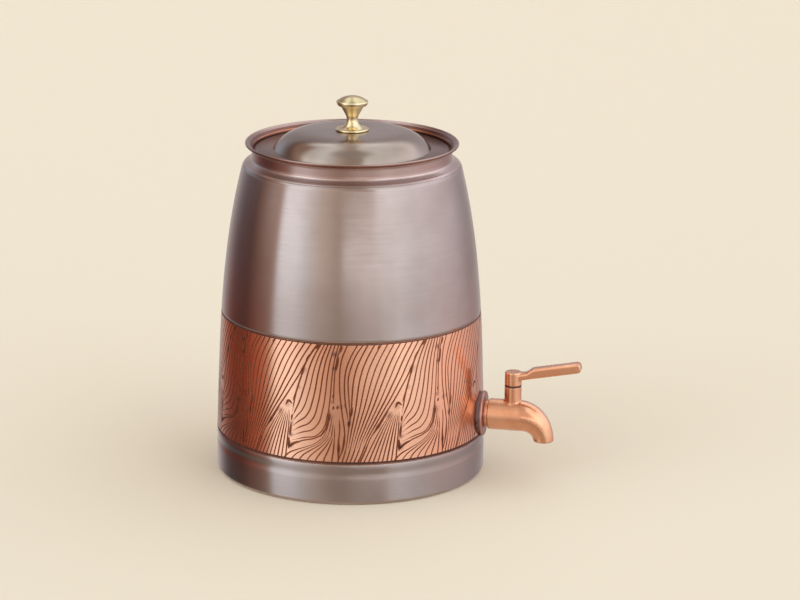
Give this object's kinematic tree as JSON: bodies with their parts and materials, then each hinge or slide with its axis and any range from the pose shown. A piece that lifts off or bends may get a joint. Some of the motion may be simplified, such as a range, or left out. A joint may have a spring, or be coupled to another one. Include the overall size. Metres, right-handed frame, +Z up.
{
  "type": "water dispenser pot",
  "caption": "Spun copper water dispenser pot with an etched wall course, a lift-off domed lid with a brass knob, and a quarter-turn lever tap low on its side.",
  "frame": {"origin": "middle of the flat base, on the table", "axes": "+Z up along the pot's axis, +X along the tap away from the pot"},
  "size_m": [0.2603, 0.1904, 0.2675],
  "materials": {
    "antique_copper": "antiqued copper, brushed round the pot, mauve brown",
    "etched_copper": "polished copper with dark etched grain lines",
    "tap_copper": "satin copper plating",
    "plate_copper": "antiqued copper, turned",
    "knob_brass": "polished turned brass",
    "plain_steel": "plain stainless steel",
    "black_rubber": "black rubber"
  },
  "bodies": {
    "pot": {"base_pan": "antique_copper", "etched_band": "etched_copper", "upper_shell": "antique_copper", "neck_collar": "antique_copper", "lid_seat_ring": "antique_copper", "tap_body": "tap_copper", "tap_escutcheon": "plate_copper", "outer_gasket": "black_rubber", "inner_gasket": "black_rubber", "inner_washer": "plain_steel", "lock_nut": "knob_brass", "stop_screw": "plain_steel"},
    "lid": {"lid_dome": "antique_copper", "lid_knob": "knob_brass", "knob_screw": "plain_steel", "knob_washer": "plain_steel"},
    "lever": {"tap_lever": "tap_copper", "valve_spindle": "knob_brass", "spindle_o_rings": "black_rubber", "friction_washer": "black_rubber", "lever_screw": "plain_steel"}
  },
  "joints": [
    {"name": "lever_turn", "type": "hinge", "parent": "pot", "child": "lever", "pos_m": [0.11692, 0, 0.0644], "axis": [0, 0, 1], "range_deg": [0, 90]},
    {"name": "lid_lift", "type": "slide", "parent": "pot", "child": "lid", "axis": [0, 0, 1], "range_m": [0, 0.12]}
  ]
}
